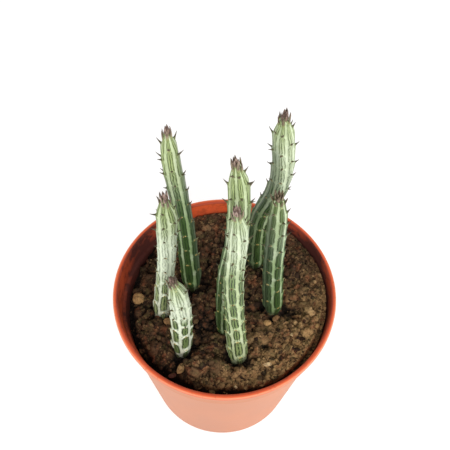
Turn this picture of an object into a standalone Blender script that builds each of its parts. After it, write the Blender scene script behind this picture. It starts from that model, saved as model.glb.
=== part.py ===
# A potted stapelia: seven ribbed stems with small awl leaves, in soil in a thin nursery pot.
# Metres, +Z up. The origin is the middle of the pot's foot, on the surface that it stands on.

import bisect
import math

import bmesh
import bpy
from mathutils import Matrix, Vector, noise

# Pot: a plain 8.5 cm nursery pot with a narrow lip and a stepped collar
POT_HEIGHT = 0.075
RIM_RADIUS = 0.0425
LIP_WIDTH = 0.0019
LIP_DEPTH = 0.0016
LIP_ROUND = 0.0004
COLLAR_RADIUS = 0.0412
COLLAR_FOOT_RADIUS = 0.0407
STEP_HEIGHT = 0.065
STEP_WIDTH = 0.0012
STEP_SLOPE = 0.001
BODY_TOP_RADIUS = COLLAR_FOOT_RADIUS - STEP_WIDTH
FOOT_RADIUS = 0.030
FOOT_RING_WIDTH = 0.003
FLOOR_RISE = 0.0016
WALL = 0.0012
POT_SEGMENTS = 48
DRAIN_HOLES = 6
DRAIN_RADIUS = 0.003
DRAIN_CIRCLE_RADIUS = 0.018

# Soil: a plug that slopes down to the left and the front, with a moat along the left wall, clods,
# a hollow round each stem and a gap along the front where it has shrunk from the pot
GAP = 0.0003
SOIL_LEVEL = 0.0673
SOIL_SLOPE_RIGHT = 0.07
SOIL_SLOPE_BACK = 0.04
SOIL_SHOULDER = 0.0530
EDGE_ROUND = 0.0005
MOAT_DEPTH = 0.0034
MOAT_WIDTH = 0.009
LUMP_HEIGHT = 0.0026
LUMP_SIZE = 0.0060
LUMP_OCTAVES = 3
CLOD_SIZE = 0.0054
CLOD_HEIGHT = 0.0032
CLOD_SEED = 1795809800  # noise_vector's offsets follow the clock without one
FINER_SHARE = 0.55  # how much lower the clods are at the right and front, where the soil is compact
FINER_SPAN = 0.060
SHRUNK_WIDTH = 0.0062
SHRUNK_DEPTH = 0.0042
HOLLOW_DEPTH = 0.0018
HOLLOW_WIDTH = 0.0026
HOLLOW_RADIUS = 0.0040
MM = 0.001
CLODS_AND_PITS = [  # x, y, half width and height in millimetres, negative for a pit
    (-27.4, -10.4, 3.4, 1.6), (-27.5, -18.8, 3.4, 1.8), (-22.0, -8.5, 2.0, 1.2), (-8.3, -24.1, 4.4, 2.2),
    (-4.8, -15.0, 3.6, 1.8), (13.0, -14.5, 1.8, 1.4), (13.0, -19.0, 1.8, 1.4), (29.7, 19.6, 4.0, 2.0),
    (32.8, 13.9, 3.0, 1.4), (28.0, 4.8, 4.0, 1.8), (-8.0, 33.0, 3.4, 1.6), (-2.5, 31.5, 3.0, 1.4),
    (22.0, -11.0, 4.5, 1.2), (30.0, -9.0, 4.5, 1.2), (5.5, -31.5, 3.5, 0.8),
    (-7.1, -8.8, 5.0, -2.4), (-13.4, 0.3, 4.6, -2.2), (-23.2, -14.6, 2.6, -2.2), (24.4, -3.2, 2.4, -2.0),
    (16.6, -18.0, 1.6, -1.8), (11.6, -24.0, 2.0, -1.8), (4.9, -27.5, 1.6, -2.2), (-15.8, -30.5, 3.2, -2.0),
    (14.8, 2.5, 4.0, -2.0), (-10.0, -17.0, 2.0, -2.0), (-3.0, 22.0, 5.0, -1.4), (32.0, 24.0, 5.0, -1.6),
]
SOIL_SEGMENTS = 80
SOIL_RINGS = 20
EDGE_RINGS = 3
HOLE_SEGMENTS = 12
HOLE_RADIUS = 0.0049
HOLE_TOP = 0.012

# Stems: the buried foot, the cushions on the ribs, the leaf on each cushion and the crown
FOOT_DEPTH = 0.013
FOOT_ROUND = 0.0016
FOOT_END_SHARE = 0.55
FIRST_LEAF = 0.0060
LAST_LEAF = 0.0036
LEAF_BASE = 0.0008
LEAF_REACH_LOW = 0.0009
LEAF_REACH_HIGH = 0.0021
LEAF_SLOPE = math.radians(42)
LEAF_SHIFT = 0.0014
SHIFT_PITCH = 0.0065
SHIFT_FADE = 0.008
CREST_HALF = 0.13  # half the width of a rib's crest, in ribs
GROOVE_SHARE = 0.14
CUSHION_SHARE = 0.10
CROWN_HEIGHT = 0.0009
CROWN_SHARE = 0.5
CROWN_LEAF_UP = 0.0026
CROWN_LEAF_RADIUS = 0.0015
BUD_HEIGHT = 0.0018

# Each path runs from the soil to the crown: x, height and the radius over the ribs, at one depth y.
# The turn is the first rib's bearing from the front, and the twist is how far it winds, in degrees.
STEMS = {
    "stem_left_back": {
        "ribs": 6, "turn": -5, "twist": 14, "leaf_step": 0.0104, "y": 0.0089,
        "path": [
            (-0.0130, 0.0667, 0.0041), (-0.0141, 0.0883, 0.0039), (-0.0151, 0.1080, 0.0037),
            (-0.0169, 0.1296, 0.0035), (-0.0185, 0.1460, 0.0033), (-0.0192, 0.1574, 0.0028),
            (-0.0194, 0.1628, 0.0020),
        ],
    },
    "stem_left_middle": {
        "ribs": 6, "turn": 12, "twist": -30, "leaf_step": 0.0096, "y": -0.0036,
        "path": [
            (-0.0240, 0.0655, 0.0039), (-0.0223, 0.0860, 0.0036), (-0.0206, 0.1080, 0.0035),
            (-0.0200, 0.1230, 0.0036), (-0.0196, 0.1345, 0.0036), (-0.0198, 0.1405, 0.0031),
            (-0.0200, 0.1448, 0.0021),
        ],
    },
    "stem_left_front": {
        "ribs": 6, "turn": 30, "twist": -15, "leaf_step": 0.0086, "y": -0.0189,
        "path": [
            (-0.0154, 0.0655, 0.0040), (-0.0151, 0.0840, 0.0041), (-0.0151, 0.1000, 0.0039),
            (-0.0159, 0.1110, 0.0034), (-0.0173, 0.1182, 0.0021),
        ],
    },
    "stem_centre_back": {
        "ribs": 7, "turn": 0, "twist": 15, "leaf_step": 0.0108, "y": -0.0108,
        "path": [
            (0.0011, 0.0669, 0.0041), (0.0008, 0.0900, 0.0040), (0.0012, 0.1119, 0.0038),
            (0.0029, 0.1300, 0.0037), (0.0035, 0.1487, 0.0038), (0.0031, 0.1625, 0.0034),
            (0.0024, 0.1705, 0.0028), (0.0019, 0.1755, 0.0021),
        ],
    },
    "stem_centre_front": {
        "ribs": 6, "turn": 20, "twist": -50, "leaf_step": 0.0094, "y": -0.0212,
        "path": [
            (0.0057, 0.0669, 0.0042), (0.0043, 0.0900, 0.0038), (0.0033, 0.1090, 0.0036),
            (0.0027, 0.1290, 0.0035), (0.0033, 0.1440, 0.0032), (0.0034, 0.1560, 0.0030),
            (0.0026, 0.1661, 0.0020),
        ],
    },
    "stem_right_back": {
        "ribs": 7, "turn": 5, "twist": -15, "leaf_step": 0.0100, "y": 0.0180,
        "path": [
            (0.0118, 0.0688, 0.0041), (0.0115, 0.0870, 0.0040), (0.0118, 0.0985, 0.0039),
            (0.0132, 0.1075, 0.0038), (0.0156, 0.1155, 0.0038), (0.0174, 0.1245, 0.0039),
            (0.0178, 0.1360, 0.0040), (0.0171, 0.1470, 0.0039), (0.0167, 0.1545, 0.0035),
            (0.0166, 0.1605, 0.0023),
        ],
    },
    "stem_right_front": {
        "ribs": 6, "turn": 30, "twist": 0, "leaf_step": 0.0096, "y": -0.0018,
        "path": [
            (0.0188, 0.0685, 0.0040), (0.0176, 0.0860, 0.0039), (0.0168, 0.1030, 0.0037),
            (0.0165, 0.1200, 0.0035), (0.0163, 0.1345, 0.0032), (0.0159, 0.1448, 0.0021),
        ],
    },
}
COLUMNS_PER_RIB = 3  # two along the crest, which carries the leaves, and one in the groove
SHARP_ANGLE = math.radians(35)
TINY = 1e-5


def clear_scene():
    for thing in list(bpy.data.objects):
        bpy.data.objects.remove(thing)


def new_collection(name):
    collection = bpy.data.collections.new(name)
    bpy.context.scene.collection.children.link(collection)
    return collection


def new_material(name, colour, roughness):
    material = bpy.data.materials.new(name)
    material.use_nodes = True
    shader = material.node_tree.nodes["Principled BSDF"]
    shader.inputs["Base Color"].default_value = (*colour, 1.0)
    shader.inputs["Roughness"].default_value = roughness
    shader.inputs["Metallic"].default_value = 0.0
    return material


def new_object(name, mesh, collection, material=None):
    thing = bpy.data.objects.new(name, mesh)
    collection.objects.link(thing)
    if material:
        mesh.materials.append(material)
    return thing


def mesh_from(bm, name):
    mesh = bpy.data.meshes.new(name)
    bm.to_mesh(mesh)
    bm.free()
    return mesh


def cut_with(thing, cutter):
    cutter.hide_render = True
    cutter.display_type = "WIRE"
    cut = thing.modifiers.new("Holes", "BOOLEAN")
    cut.operation = "DIFFERENCE"
    cut.object = cutter


def body_inner_radius(height):
    """Inside radius of the pot's tapered body at this height."""
    share = height / (STEP_HEIGHT - STEP_SLOPE)
    return FOOT_RADIUS + (BODY_TOP_RADIUS - FOOT_RADIUS) * share - WALL


def pot_profile():
    """Half section as (radius, height): from the floor up the inside, over the lip and down."""
    floor_top = FLOOR_RISE + WALL
    lip_foot = POT_HEIGHT - LIP_DEPTH
    return [
        (0, floor_top),
        (body_inner_radius(floor_top), floor_top),
        (BODY_TOP_RADIUS - WALL, STEP_HEIGHT),
        (COLLAR_FOOT_RADIUS - WALL, STEP_HEIGHT + STEP_SLOPE),
        (COLLAR_RADIUS - WALL, POT_HEIGHT - LIP_DEPTH / 2),
        (RIM_RADIUS - LIP_WIDTH, POT_HEIGHT),
        (RIM_RADIUS - LIP_ROUND, POT_HEIGHT),
        (RIM_RADIUS, POT_HEIGHT - LIP_ROUND),
        (RIM_RADIUS, lip_foot + LIP_ROUND),
        (RIM_RADIUS - LIP_ROUND, lip_foot),
        (COLLAR_RADIUS, lip_foot),
        (COLLAR_FOOT_RADIUS, STEP_HEIGHT),
        (BODY_TOP_RADIUS, STEP_HEIGHT - STEP_SLOPE),
        (FOOT_RADIUS, LIP_ROUND),
        (FOOT_RADIUS - LIP_ROUND, 0),
        (FOOT_RADIUS - FOOT_RING_WIDTH, 0),
        (FOOT_RADIUS - FOOT_RING_WIDTH, FLOOR_RISE),
        (0, FLOOR_RISE),
    ]


def make_pot(parts, cutters, material):
    profile = [(radius, 0, height) for radius, height in pot_profile()]
    mesh = bpy.data.meshes.new("pot")
    mesh.from_pydata(profile, [(i, i + 1) for i in range(len(profile) - 1)], [])
    pot = new_object("pot", mesh, parts, material)
    turn = pot.modifiers.new("Turned", "SCREW")
    turn.axis = "Z"
    turn.angle = math.tau
    turn.steps = turn.render_steps = POT_SEGMENTS
    turn.use_merge_vertices = True
    turn.merge_threshold = TINY

    bm = bmesh.new()
    for hole in range(DRAIN_HOLES):
        bearing = math.tau * hole / DRAIN_HOLES
        place = Vector((math.cos(bearing), math.sin(bearing), 0)) * DRAIN_CIRCLE_RADIUS
        bmesh.ops.create_cone(
            bm, cap_ends=True, segments=HOLE_SEGMENTS, radius1=DRAIN_RADIUS,
            radius2=DRAIN_RADIUS, depth=4 * (FLOOR_RISE + WALL), matrix=Matrix.Translation(place),
        )
    cut_with(pot, new_object("drain_cutter", mesh_from(bm, "drain_cutter"), cutters))


def clamp(value):
    return min(1.0, max(0.0, value))


def cobble(x, y):
    """Rounded humps parted by cracks, from about -0.6 to 0.6."""
    place = Vector((x, y, CLOD_SIZE)) / CLOD_SIZE
    place += 0.35 * noise.noise_vector(place * 1.7)
    near, points = noise.voronoi(place)
    return clamp((near[1] - near[0]) / 0.45) ** 0.6 - 0.6 + 0.5 * noise.noise(points[0] * 3.1)


def lump_height(x, y):
    """Broad lumps, a bed of clods and the clods and pits that the photo shows."""
    finer = clamp(0.5 + (x - y) / FINER_SPAN)
    height = LUMP_HEIGHT * noise.fractal(Vector((x, y, 0)) / LUMP_SIZE, 1.0, 2.0, LUMP_OCTAVES)
    height += CLOD_HEIGHT * (1 - FINER_SHARE * finer) * cobble(x, y)
    for spot_x, spot_y, half, rise in CLODS_AND_PITS:
        apart = math.hypot(x / MM - spot_x, y / MM - spot_y) / half
        if apart < 2:
            height += rise * MM * math.exp(-(apart**2))
    return height


def shrunk_depth(x, y, from_wall):
    """How far the soil has sunk beside the wall. The gap is widest at the front."""
    front = clamp(0.5 - 0.62 * math.sin(math.atan2(y, x) + 0.1))
    width = SHRUNK_WIDTH * (0.35 + 0.65 * front)
    return SHRUNK_DEPTH * front * clamp((width - from_wall) / (0.45 * width)) ** 2


def hollow_depth(x, y):
    """How far the soil dips beside the nearest stem."""
    nearest = min(math.hypot(x - stem["path"][0][0], y - stem["y"]) for stem in STEMS.values())
    return HOLLOW_DEPTH * clamp(1 - (nearest - HOLLOW_RADIUS) / HOLLOW_WIDTH)


def ground_height(x, y):
    """Height of the soil's surface. The lumps end at the wall, so that none reaches into the pot."""
    wall = BODY_TOP_RADIUS - WALL
    from_wall = wall - math.hypot(x, y)
    near_wall = clamp(1 - from_wall / MOAT_WIDTH) ** 2
    height = SOIL_LEVEL + SOIL_SLOPE_RIGHT * x + SOIL_SLOPE_BACK * y + lump_height(x, y) * (1 - near_wall)
    height -= MOAT_DEPTH * near_wall * (0.5 - 0.5 * x / wall)
    return height - shrunk_depth(x, y, from_wall) - hollow_depth(x, y)


def soil_edge(bearing):
    """(radius, height) of three points up the plug's edge, over the pot's step where it is high enough."""
    over_step = COLLAR_FOOT_RADIUS - WALL - GAP
    in_body = BODY_TOP_RADIUS - WALL - GAP
    height = ground_height(over_step * math.cos(bearing), over_step * math.sin(bearing))
    step_top = STEP_HEIGHT + STEP_SLOPE + GAP
    if height > step_top + EDGE_ROUND:
        return [(in_body, STEP_HEIGHT), (over_step, step_top), (over_step, height)]
    height = ground_height(in_body * math.cos(bearing), in_body * math.sin(bearing))
    low = min(in_body, body_inner_radius(height - 2 * EDGE_ROUND) - GAP)
    return [(low, height - 2 * EDGE_ROUND), (low, height - EDGE_ROUND), (low - EDGE_ROUND, height)]


def make_soil(parts, cutters, material, spines):
    """A plug in the pot: its top face is inset into rings, which are then moved to the ground."""
    foot = FLOOR_RISE + WALL + GAP
    depth = SOIL_SHOULDER - foot
    shoulder_radius = body_inner_radius(SOIL_SHOULDER) - GAP
    spacing = shoulder_radius / (EDGE_RINGS + SOIL_RINGS + 1)
    bm = bmesh.new()
    bmesh.ops.create_cone(
        bm, cap_ends=True, segments=SOIL_SEGMENTS, radius1=body_inner_radius(foot) - GAP,
        radius2=shoulder_radius, depth=depth, matrix=Matrix.Translation((0, 0, foot + depth / 2)),
    )
    top = max(bm.faces, key=lambda face: face.calc_center_median().z)
    for _ in range(EDGE_RINGS + SOIL_RINGS):
        bmesh.ops.inset_region(bm, faces=[top], thickness=spacing)
    bmesh.ops.poke(bm, faces=[top])
    for vertex in bm.verts:
        ring = round((shoulder_radius - vertex.co.xy.length) / spacing)
        if vertex.co.z < SOIL_SHOULDER - TINY or ring == 0:
            continue
        bearing = math.atan2(vertex.co.y, vertex.co.x)
        radius, height = soil_edge(bearing)[min(ring, EDGE_RINGS) - 1]
        if ring > EDGE_RINGS:
            radius *= 1 - (ring - EDGE_RINGS) / (SOIL_RINGS + 1)
            height = ground_height(radius * math.cos(bearing), radius * math.sin(bearing))
        vertex.co = (radius * math.cos(bearing), radius * math.sin(bearing), height)
    soil = new_object("soil", mesh_from(bm, "soil"), parts, material)

    bm = bmesh.new()
    for spine in spines:
        point, right, back, up, _ = spine.at(0)
        bottom = -FOOT_DEPTH - GAP
        middle = point + up * (HOLE_TOP + bottom) / 2
        axes = Matrix((right, back, up)).transposed().to_4x4()
        bmesh.ops.create_cone(
            bm, cap_ends=True, segments=HOLE_SEGMENTS, radius1=HOLE_RADIUS,
            radius2=HOLE_RADIUS, depth=HOLE_TOP - bottom, matrix=Matrix.Translation(middle) @ axes,
        )
    cut_with(soil, new_object("stem_hole_cutter", mesh_from(bm, "stem_hole_cutter"), cutters))


class Spine:
    """The smooth centre line through a stem's path, measured by its length from the soil."""

    SAMPLES = 40

    def __init__(self, stem):
        points = [Vector((x, stem["y"], height, radius)) for x, height, radius in stem["path"]]
        points = [2 * points[0] - points[1], *points, 2 * points[-1] - points[-2]]
        self.samples = [points[1]]
        for a, b, c, d in zip(points, points[1:], points[2:], points[3:]):
            for step in range(1, self.SAMPLES + 1):
                self.samples.append(self.between(a, b, c, d, step / self.SAMPLES))
        self.marks = [0.0]
        for before, after in zip(self.samples, self.samples[1:]):
            self.marks.append(self.marks[-1] + (after - before).xyz.length)
        self.length = self.marks[-1]

    @staticmethod
    def between(a, b, c, d, t):
        """Catmull-Rom point at t from b to c."""
        return 0.5 * (
            2 * b + (c - a) * t + (2 * a - 5 * b + 4 * c - d) * t**2 + (3 * b - a - 3 * c + d) * t**3
        )

    def at(self, along):
        """Point, right, back and up directions, and radius, this far along. Both ends run on straight."""
        inside = min(max(along, 0.0), self.length)
        nearer = min(max(bisect.bisect_left(self.marks, inside), 1), len(self.marks) - 1)
        before, after = self.samples[nearer - 1], self.samples[nearer]
        share = (inside - self.marks[nearer - 1]) / (self.marks[nearer] - self.marks[nearer - 1])
        here = before.lerp(after, share)
        up = (after - before).xyz.normalized()
        right = Vector((0, 1, 0)).cross(up).normalized()
        return here.xyz + up * (along - inside), right, up.cross(right), up, here.w


def leaf_levels(stem, length, rib):
    """Heights of one rib's leaves. Every other rib is half a step higher."""
    level = FIRST_LEAF + (rib % 2) * stem["leaf_step"] / 2
    found = []
    while level < length - LAST_LEAF:
        found.append(level)
        level += stem["leaf_step"]
    return found


def straight_stem(stem, length):
    """A straight cylinder of unit radius, cut across at each leaf's base and at both ends."""
    foot = -FOOT_DEPTH
    cuts = [foot + FOOT_ROUND, 0.0, length - CROWN_HEIGHT]
    for level in leaf_levels(stem, length, 0) + leaf_levels(stem, length, 1):
        cuts += [level - LEAF_BASE / 2, level + LEAF_BASE / 2]
    bm = bmesh.new()
    first_corner_to_x = Matrix.Rotation(-math.pi / 2, 4, "Z")
    bmesh.ops.create_cone(
        bm, cap_ends=True, segments=COLUMNS_PER_RIB * stem["ribs"], radius1=1, radius2=1,
        depth=length - foot,
        matrix=Matrix.Translation((0, 0, (length + foot) / 2)) @ first_corner_to_x,
    )
    for cut in cuts:
        everything = bm.verts[:] + bm.edges[:] + bm.faces[:]
        bmesh.ops.bisect_plane(bm, geom=everything, plane_co=(0, 0, cut), plane_no=(0, 0, 1))
    return bm


def column_of(point, stem):
    """Which column of corners a point of the straight stem lies on, counted round it in halves."""
    columns = COLUMNS_PER_RIB * stem["ribs"]
    return round(2 * math.atan2(point.y, point.x) / math.tau * columns) / 2 % columns


def rib_of_crest(face, stem):
    """The rib whose crest this face lies on, or None."""
    rib, place = divmod(column_of(face.calc_center_median(), stem), COLUMNS_PER_RIB)
    return int(rib) if abs(face.normal.z) < 0.5 and place == 0.5 else None


def surface_radius(stem, radius, along, column):
    """Distance from the centre line: grooves between ribs, and cushions that swell below each leaf."""
    rib, place = divmod(column, COLUMNS_PER_RIB)
    if place == 2:
        return radius * (1 - GROOVE_SHARE)
    first = FIRST_LEAF + (rib % 2) * stem["leaf_step"] / 2
    below = (first - along) / stem["leaf_step"] % 1
    return radius * (1 - CUSHION_SHARE / 2 + CUSHION_SHARE * (1 - below) ** 2)


def bearing_of(stem, column, share):
    """Bearing from +X of a column of the straight stem, once the crests are narrowed and wound."""
    rib, place = divmod(column, COLUMNS_PER_RIB)
    offset = 0.5 if place > 1.5 else (2 * place - 1) * CREST_HALF
    return math.tau * (rib + offset) / stem["ribs"] + math.radians(stem["turn"] + stem["twist"] * share - 90)


def make_stem(name, stem, spine, parts, material):
    """Leaves are pulled out of the crests' faces, and the whole is then bent along its path."""
    length = spine.length
    bm = straight_stem(stem, length)
    bm.normal_update()
    leaf_faces = []
    crown_faces = []
    for face in bm.faces:
        rib = rib_of_crest(face, stem)
        if rib is None:
            continue
        height = face.calc_center_median().z
        if any(abs(height - level) < TINY for level in leaf_levels(stem, length, rib)):
            leaf_faces.append(face)
        elif height > length - CROWN_HEIGHT:
            crown_faces.append(face)
    top_face = max(bm.faces, key=lambda face: face.calc_center_median().z)

    placed = {}
    for vertex in bm.verts:
        along = vertex.co.z
        radius = spine.at(along)[4]
        radius = surface_radius(stem, radius, along, column_of(vertex.co, stem))
        if along < FOOT_ROUND - FOOT_DEPTH - TINY:
            radius *= FOOT_END_SHARE
        elif along > length - TINY:
            radius *= CROWN_SHARE
        placed[vertex] = (radius, along)

    for vertex in bmesh.ops.poke(bm, faces=leaf_faces)["verts"]:
        along = vertex.co.z
        reach = LEAF_REACH_LOW + (LEAF_REACH_HIGH - LEAF_REACH_LOW) * along / length
        outwards = spine.at(along)[4] + reach * math.cos(LEAF_SLOPE)
        placed[vertex] = (outwards, along + reach * math.sin(LEAF_SLOPE))
    for vertex in bmesh.ops.poke(bm, faces=crown_faces)["verts"]:
        placed[vertex] = (CROWN_LEAF_RADIUS, vertex.co.z + CROWN_LEAF_UP)
    for vertex in bmesh.ops.poke(bm, faces=[top_face])["verts"]:
        placed[vertex] = (0.0, length + BUD_HEIGHT)

    for vertex, (radius, along) in placed.items():
        bearing = bearing_of(stem, column_of(vertex.co, stem), along / length)
        fade = min(1.0, max(0.0, along / SHIFT_FADE), max(0.0, (length - along) / SHIFT_FADE))
        along += LEAF_SHIFT * fade * math.sin(bearing + along / SHIFT_PITCH)
        point, right, back, _, _ = spine.at(along)
        vertex.co = point + (right * math.cos(bearing) + back * math.sin(bearing)) * radius
    mesh = mesh_from(bm, name)
    mesh.shade_smooth()
    mesh.set_sharp_from_angle(angle=SHARP_ANGLE)
    new_object(name, mesh, parts, material)


def main():
    clear_scene()
    noise.seed_set(CLOD_SEED)
    parts = new_collection("potted_stapelia")
    cutters = new_collection("cutters")
    make_pot(parts, cutters, new_material("pot_plastic", (0.62, 0.20, 0.09), 0.45))
    spines = {name: Spine(stem) for name, stem in STEMS.items()}
    make_soil(parts, cutters, new_material("soil_mix", (0.10, 0.06, 0.04), 0.95), spines.values())
    green = new_material("stem_skin", (0.30, 0.42, 0.22), 0.55)
    for name, stem in STEMS.items():
        make_stem(name, stem, spines[name], parts, green)


main()
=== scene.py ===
# The potted stapelia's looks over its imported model: patterned stems, crumbly soil and a thin plastic pot.

import math

import bpy
import numpy as np
from mathutils import Matrix, Vector, noise


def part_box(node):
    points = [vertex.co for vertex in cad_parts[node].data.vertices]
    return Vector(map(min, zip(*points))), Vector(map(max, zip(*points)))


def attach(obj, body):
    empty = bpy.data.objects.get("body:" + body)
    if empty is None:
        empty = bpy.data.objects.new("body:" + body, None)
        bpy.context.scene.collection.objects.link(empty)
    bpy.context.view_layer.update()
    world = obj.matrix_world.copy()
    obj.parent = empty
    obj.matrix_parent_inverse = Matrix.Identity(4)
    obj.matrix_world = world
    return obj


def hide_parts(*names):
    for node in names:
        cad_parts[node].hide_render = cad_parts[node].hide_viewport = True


mm = 0.001
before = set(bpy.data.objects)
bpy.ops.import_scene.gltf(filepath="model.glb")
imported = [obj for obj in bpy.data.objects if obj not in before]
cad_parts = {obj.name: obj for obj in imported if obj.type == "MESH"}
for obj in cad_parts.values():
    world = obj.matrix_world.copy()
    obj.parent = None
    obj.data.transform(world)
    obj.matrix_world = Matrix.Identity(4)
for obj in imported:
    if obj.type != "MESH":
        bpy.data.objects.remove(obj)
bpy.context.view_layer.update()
print("frame loaded")


# Selecting, shaping and handing over pieces

def deselectAll():
    if bpy.context.mode != "OBJECT":
        bpy.ops.object.mode_set(mode="OBJECT")
    bpy.ops.object.select_all(action="DESELECT")


def pick(*pieces):
    deselectAll()
    for piece in pieces:
        piece.select_set(True)
    bpy.context.view_layer.objects.active = pieces[0]


def applyModifier(piece, kind, settings):
    modifier = piece.modifiers.new(kind, kind)
    for name, value in settings.items():
        setattr(modifier, name, value)
    pick(piece)
    bpy.ops.object.modifier_apply(modifier=modifier.name)


def pointsOf(piece):
    flat = np.empty(3 * len(piece.data.vertices))
    piece.data.vertices.foreach_get("co", flat)
    return flat.reshape(-1, 3)


def movePoints(piece, points):
    piece.data.vertices.foreach_set("co", np.asarray(points, np.float32).ravel())
    piece.data.update()


def weld(piece):
    # joins points that coincide and turns the faces outwards
    pick(piece)
    bpy.ops.object.mode_set(mode="EDIT")
    bpy.ops.mesh.select_all(action="SELECT")
    bpy.ops.mesh.remove_doubles(threshold=0.002 * mm)
    bpy.ops.mesh.normals_make_consistent(inside=False)
    bpy.ops.object.mode_set(mode="OBJECT")


def giveValues(piece, name, values):
    # one number for each point, which the materials read by its name
    layer = piece.data.attributes.new(name, "FLOAT", "POINT")
    layer.data.foreach_set("value", np.asarray(values, np.float32))


def settle(piece, slotName, *nodes):
    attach(piece, "root")
    if nodes:
        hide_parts(*nodes)


def smoothAndDress(piece, material):
    pick(piece)
    bpy.ops.object.shade_smooth()
    piece.data.materials.append(material)


# Shader maths written as sums

class Wire:
    # a node's output; sums on it add Math nodes
    def __init__(self, finish, socket):
        self.finish = finish
        self.socket = socket

    def maths(self, operation, *values):
        return self.finish.add("Math", {"operation": operation}, dict(enumerate(values)))

    def __add__(self, other):
        return self.maths("ADD", self, other)

    def __sub__(self, other):
        return self.maths("SUBTRACT", self, other)

    def __rsub__(self, other):
        return self.maths("SUBTRACT", other, self)

    def __mul__(self, other):
        return self.maths("MULTIPLY", self, other)

    def __truediv__(self, other):
        return self.maths("DIVIDE", self, other)

    def __rtruediv__(self, other):
        return self.maths("DIVIDE", other, self)

    def __pow__(self, other):
        return self.maths("POWER", self, other)

    __radd__ = __add__
    __rmul__ = __mul__

    def fract(self):
        return self.maths("FRACT", self)

    def floor(self):
        return self.maths("FLOOR", self)

    def size(self):
        return self.maths("ABSOLUTE", self)

    def wave(self):
        return self.maths("COSINE", self)

    def atLeast(self, other):
        return self.maths("MAXIMUM", self, other)

    def atMost(self, other):
        return self.maths("MINIMUM", self, other)

    def between(self, low, high):
        # 0 at low, 1 at high, eased; low may be the larger one
        return self.finish.add(
            "MapRange", {"interpolation_type": "SMOOTHSTEP"},
            {"Value": self, "From Min": low, "From Max": high},
        )


class Finish:
    def __init__(self, name):
        self.material = bpy.data.materials.new(name)
        self.material.use_nodes = True
        self.tree = self.material.node_tree
        self.shader = self.tree.nodes["Principled BSDF"]

    def add(self, kind, settings=None, sockets=None, output=0):
        node = self.tree.nodes.new("ShaderNode" + kind)
        for name, value in (settings or {}).items():
            setattr(node, name, value)
        for key, value in (sockets or {}).items():
            self.feed(node.inputs[key], value)
        return Wire(self, node.outputs[output])

    def feed(self, socket, value):
        if isinstance(value, Wire):
            self.tree.links.new(value.socket, socket)
        else:
            socket.default_value = value

    def set(self, **sockets):
        for name, value in sockets.items():
            self.feed(self.shader.inputs[name.replace("_", " ")], value)

    def place(self):
        return self.add("TexCoord", output="Object")

    def stretched(self, x, y, z):
        return self.add("Mapping", {}, {"Vector": self.place(), "Scale": (x, y, z)})

    def part(self, vector, letter):
        # one number of a vector
        node = self.add("SeparateXYZ", {}, {0: vector}).socket.node
        return Wire(self, node.outputs[letter])

    def value(self, name):
        return self.add("Attribute", {"attribute_name": name}, output="Fac")

    def grain(self, place, scale, detail=3, roughness=0.55):
        # soft noise from 0 to 1, about scale grains to the metre
        sockets = {"Vector": place, "Scale": scale, "Detail": detail, "Roughness": roughness}
        return self.add("TexNoise", {}, sockets)

    def cells(self, place, scale):
        # one random number for each cell, about scale cells to the metre
        return self.part(self.add("TexVoronoi", {}, {"Vector": place, "Scale": scale}, "Color"), "X")

    def blend(self, factor, low, high):
        return self.add("Mix", {"data_type": "RGBA"}, {0: factor, 6: low, 7: high}, 2)

    def relief(self, height, strength, distance, below=None):
        # bumps, on top of those below
        sockets = {"Height": height, "Strength": strength, "Distance": distance}
        if below:
            sockets["Normal"] = below
        return self.add("Bump", {}, sockets)


def seen(red, green, blue):
    # a colour as the screen shows it, 0 to 255, made linear
    share = [level / 255 for level in (red, green, blue)]
    return (*[s / 12.92 if s <= 0.04045 else ((s + 0.055) / 1.055) ** 2.4 for s in share], 1)


# Camera, floor and light

view = {
    # place of the lens, then how far it looks down, turns and rolls in degrees
    "place": (0, -155.9 * mm, 381.4 * mm),
    "down": 58.73,
    "turn": -0.28,
    "roll": 1.93,
    "lens": 72,
}
studio = {
    "floorColour": (188, 187, 186),
    "floorGlow": 0.56,
    "sky": 0.50,
    "aim": (0, 0, 90 * mm),
    "lamps": {
        "frontLamp": {"place": (0.10, -0.60, 0.62), "size": 0.40, "power": 4.0},
        "leftLamp": {"place": (-0.70, -0.15, 0.40), "size": 0.50, "power": 3.0},
        "rightLamp": {"place": (0.70, -0.15, 0.40), "size": 0.50, "power": 3.8},
    },
}


def makeCamera():
    camera = bpy.data.objects.new("camera", bpy.data.cameras.new("camera"))
    bpy.context.scene.collection.objects.link(camera)
    turn = Matrix.Rotation(math.radians(-view["turn"]), 4, "Z")
    tilt = Matrix.Rotation(math.radians(90 - view["down"]), 4, "X")
    roll = Matrix.Rotation(math.radians(view["roll"]), 4, "Z")
    camera.matrix_world = Matrix.Translation(view["place"]) @ turn @ tilt @ roll
    camera.data.lens = view["lens"]
    camera.data.clip_start = 10 * mm
    bpy.context.scene.camera = camera


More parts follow.
